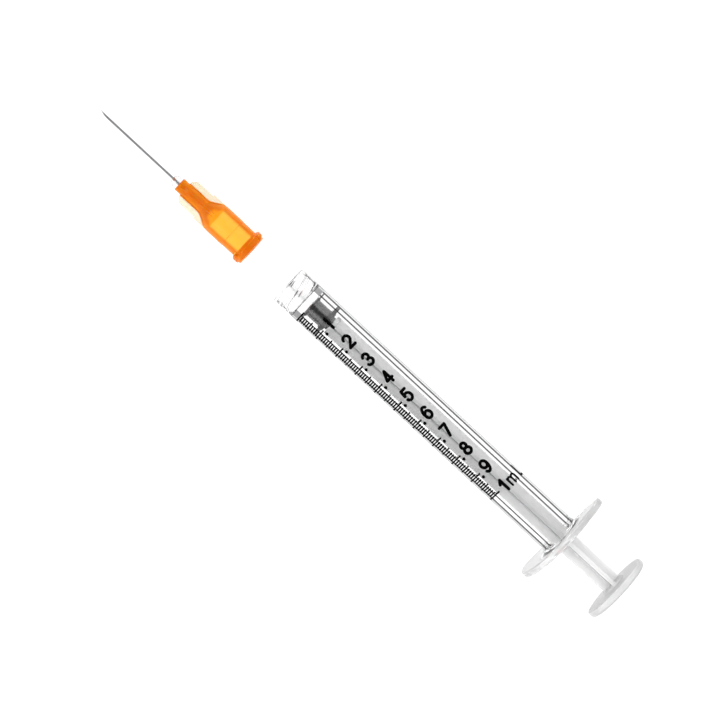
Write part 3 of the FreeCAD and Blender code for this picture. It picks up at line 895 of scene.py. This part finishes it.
def frosted_surface(finish, shader, tone, glow):
    """Frosted translucent plastic on a Principled shader: light wanders a little way inside it, and
    its surface is grained with flow marks along it. Painted shade makes it darker where it is seen edge
    on. The painted glow, a colour or a signal, is given off as emission."""
    grain = finish.noise(7.0)
    flow = 0.97 + 0.03 * finish.noise(0.5, 2.0, stretch=(8.0, 1.0, 1.0))
    # Painted shade: the tone falls to 0.68 of itself where the surface is seen edge on
    shade = tone * flow * (0.68 + 0.32 * finish.square_on())
    bump = finish.node("ShaderNodeBump", None, {"Strength": 0.12, "Distance": 0.00003, "Height": grain})
    # Painted glow: the glow colour is given off at strength 0.2
    finish.set(shader, {
        "IOR": 1.5, "Subsurface Weight": 1.0, "Subsurface Radius": (1.0, 1.0, 1.0),
        "Subsurface Scale": 0.0006, "Emission Color": glow, "Emission Strength": 0.2,
        "Base Color": finish.mix(shade, BLACK, WHITE), "Roughness": 0.38 + 0.14 * grain, "Normal": bump})
    return shader


def frosted_plastic():
    """Frosted translucent plastic of the plunger rod: its ribs have a painted glow where they are seen
    square on, and a tone a little lower than the thumb rest's."""
    finish = Finish("frosted_plastic")
    station = finish.split(finish.here())[0]
    ribs = finish.step(station, THUMB_FRONT + 0.1, THUMB_FRONT - 0.9)
    # Painted glow on the ribs, pale grey where they are seen square on
    glow = finish.mix(ribs * finish.square_on(), BLACK, (0.75, 0.75, 0.75))
    frosted_surface(finish, finish.shader, 0.9 - 0.04 * ribs, glow)
    return finish.material


def orange_plastic():
    """Translucent orange plastic of the hub: part of the light goes through it and part wanders inside.
    Its colours are painted light and shade: pale painted through-light in the thin fins but not along
    their crests, deep in the solid neck and the thick rim, deep as painted shade along its outline where
    it is seen edge on, and lighter round the hollow socket, which has a painted glow."""
    finish = Finish("orange_translucent_plastic", **{"IOR": 1.3, "Transmission Weight": 1.0})
    station, across, above = finish.split(finish.here())
    sine = math.sin(math.radians(HUB_TURN))
    cosine = math.cos(math.radians(HUB_TURN))
    one_way = finish.size(above * cosine - across * sine)
    other_way = finish.size(above * sine + across * cosine)
    crest = finish.step(one_way.maths("MINIMUM", one_way, other_way), 0.97 * FIN_HALF, 0.9 * FIN_HALF)
    radius = (across * across + above * above) ** 0.5
    widening = finish.step(station, SHOULDER - SHOULDER_LENGTH - 0.6, SHOULDER + 0.6)
    body_r = HUB_NECK_R + (HUB_BODY_R - HUB_NECK_R) * widening
    fins = finish.step(radius - body_r, 0.1, 0.3) * finish.step(station, SHOULDER + 0.1, SHOULDER)
    fins = fins * (1.0 - crest)
    neck = finish.step(station, SHOULDER - 1.0, SHOULDER - 1.9)
    chamber = finish.step(station, SHOULDER + 0.5, SHOULDER + 0.3)
    rim = finish.step(station, LUG_MIDDLE - 0.95, LUG_MIDDLE - 0.65)
    # Painted shade: the colour turns deep along the outline, where the surface is seen edge on
    edge = finish.step(finish.facing(), 0.15, 0.32)

    def by_depth(socket, narrow, deep, fin):
        """One of four colours of painted light and shade: round the socket, round the narrower chamber,
        where the plastic is deep or seen edge on, and in the fins."""
        hollow = finish.mix(edge, finish.mix(chamber, socket, narrow), deep)
        return finish.mix(fins, finish.mix(neck + rim, hollow, deep), fin)

    # Painted through-light and shade in the base colour: pale fins, lighter socket, deep neck, rim and
    # outline
    through = by_depth((1.0, 0.86, 0.35), (1.0, 0.72, 0.12), (0.97, 0.45, 0.01), (1.0, 0.97, 0.8))
    finish.vary(Base_Color=through, Roughness=0.12 + 0.06 * finish.noise(4.0))
    finish.relief(finish.noise(1.5), 0.05, 0.0001)
    cloudy = finish.principled()
    finish.set(cloudy, {
        "IOR": 1.45, "Specular IOR Level": 0.1, "Subsurface Weight": 1.0,
        "Subsurface Radius": (1.0, 0.6, 0.3), "Subsurface Scale": 0.0005,
        "Base Color": by_depth((1.0, 0.6, 0.07), (1.0, 0.45, 0.02), (0.97, 0.26, 0.002), (1.0, 0.93, 0.6)),
        "Roughness": 0.2 + 0.1 * finish.noise(4.0),
        # Painted glow: orange light given off round the socket and the chamber, faint in the deep plastic and
        # none in the fins
        "Emission Color": by_depth((0.4, 0.17, 0.02), (0.3, 0.1, 0.0), (0.04, 0.012, 0.0), BLACK),
        "Emission Strength": 1.0})
    finish.blend(0.72 - 0.55 * fins, cloudy)
    return finish.material


def ground_steel():
    """Drawn and ground steel of the needle tube: fine lines along it."""
    finish = Finish("ground_steel", **{"Metallic": 1.0, "IOR": 2.5})
    lines = finish.noise(14.0, 2.0, stretch=(40.0, 1.0, 1.0))
    finish.vary(Base_Color=finish.mix(lines, (0.2, 0.2, 0.21), (0.34, 0.34, 0.35)),
                Roughness=0.24 + 0.16 * lines)
    finish.relief(lines, 0.15, 0.00002)
    return finish.material


def clear_adhesive():
    """Clear cured adhesive with tiny unevenness."""
    finish = Finish("clear_adhesive", **{
        "Base Color": (0.97, 0.975, 0.98), "IOR": 1.5, "Transmission Weight": 0.9})
    finish.vary(Roughness=0.05 + 0.1 * finish.noise(2.0))
    finish.relief(finish.noise(1.6), 0.2, 0.00008)
    return finish.material


def printing_ink():
    """Black printing ink, slightly thinner in small spots."""
    finish = Finish("printing_ink", **{"Specular IOR Level": 0.0})
    finish.vary(Base_Color=finish.mix(finish.noise(5.0), (0.001, 0.001, 0.001), (0.004, 0.004, 0.004)),
                Roughness=0.45 + 0.2 * finish.noise(6.0))
    return finish.material


def pale_floor():
    """Matt floor that glows softly white, as a light table does."""
    finish = Finish("pale_floor", **{
        "Roughness": 0.9, "Specular IOR Level": 0.0, "Emission Color": WHITE, "Emission Strength": 0.95})
    finish.vary(Base_Color=finish.mix(finish.noise(0.05), (0.215, 0.215, 0.215), (0.225, 0.225, 0.225)))
    return finish.material


# Camera: it looks at the syringe from 50 degrees above the floor on the +Y side, almost square to the
# axis, and is rolled so that the syringe runs from the upper left to the lower right
LEAN = math.radians(40.0)
SQUINT = math.radians(0.9)
ROLL = math.radians(42.77)
FRAME_WIDTH = 150.5
DISTANCE = 600.0
LOOK_STATION = 21.76
LOOK_DOWN = 1.36
SENSOR = 36.0

# Floor, in metres, and the studio's light: its strength in the gap and round it, and how many degrees
# from the gap's middle it starts to brighten and is bright
FLOOR_HALF = 3.0
FLOOR_DROP = 2e-5
GAP_LIGHT = 0.2
STUDIO_LIGHT = 1.4
GAP_INNER = 15.0
GAP_OUTER = 24.0


def camera():
    """The photograph's viewpoint: the level picture's directions come from the two tilts, and the
    camera's own from turning those by the roll."""
    square = math.sin(LEAN) * ACROSS + math.cos(LEAN) * UPWARD
    back = math.cos(SQUINT) * square - math.sin(SQUINT) * ALONG
    level_right = math.cos(SQUINT) * ALONG + math.sin(SQUINT) * square
    level_up = math.cos(LEAN) * ACROSS - math.sin(LEAN) * UPWARD
    right = math.cos(ROLL) * level_right + math.sin(ROLL) * level_up
    up = math.cos(ROLL) * level_up - math.sin(ROLL) * level_right
    target = MOUTH + MM * (LOOK_STATION * ALONG - LOOK_DOWN * level_up)
    spot = target + MM * DISTANCE * back
    data = bpy.data.cameras.new("camera")
    data.sensor_width = SENSOR
    data.lens = SENSOR * DISTANCE / FRAME_WIDTH
    data.clip_start = 0.05
    data.clip_end = 20.0
    thing = added("camera", data)
    thing.matrix_world = Matrix([[right[k], up[k], back[k], spot[k]] for k in range(3)] + [[0, 0, 0, 1]])
    bpy.context.scene.camera = thing


def floor():
    """A flat square of six metres a side, a hair below the object."""
    corners = [(FLOOR_HALF * x, FLOOR_HALF * y, -FLOOR_DROP) for x, y in ((-1, -1), (1, -1), (1, 1), (-1, 1))]
    mesh = bpy.data.meshes.new("floor")
    mesh.from_pydata(corners, [], [(0, 1, 2, 3)])
    mesh.materials.append(pale_floor())
    thing = added("floor", mesh)


def surroundings():
    """A pale studio: soft light from every side but a dim gap overhead, which the camera looks
    through. The gap is the part of the sky near the plane of the syringe's axis and the camera."""
    sky = Finish("studio", "Background", bpy.data.worlds, Color=WHITE)
    side = math.cos(LEAN) * ACROSS - math.sin(LEAN) * UPWARD
    values = {0: sky.node("ShaderNodeTexCoord", output="Generated"), 1: tuple(side)}
    dot = sky.node("ShaderNodeVectorMath", {"operation": "DOT_PRODUCT"}, values, output="Value")
    inner, outer = (math.sin(math.radians(edge)) for edge in (GAP_INNER, GAP_OUTER))
    sky.vary(Strength=GAP_LIGHT + (STUDIO_LIGHT - GAP_LIGHT) * sky.step(sky.size(dot), inner, outer))
    bpy.context.scene.world = sky.material
    bpy.context.scene.view_settings.view_transform = "Standard"


camera()
floor()
surroundings()
clear = clear_moulding()
ink = printing_ink()
piece("barrel_clear_moulding", [barrel()], "barrel", clear, ["barrel"])
piece("scale_ticks", ticks(), "barrel", ink, smooth=False)
piece("scale_numerals", numerals(), "barrel", ink, smooth=False)
piece("stopper_rubber", [stopper()], "stopper", black_rubber(), ["stopper"])
piece("plunger_rod_frosted", [plunger_rod()], "plunger_rod", frosted_plastic(),
      ["plunger_rod"])
piece("needle_hub_orange", [needle_hub()], "needle", orange_plastic(), ["needle_hub"])
piece("needle_tube", [cannula()], "needle", ground_steel(), ["cannula"], smooth=False)
piece("needle_adhesive", [adhesive_bead()], "needle", clear_adhesive(), ["adhesive_bead"])
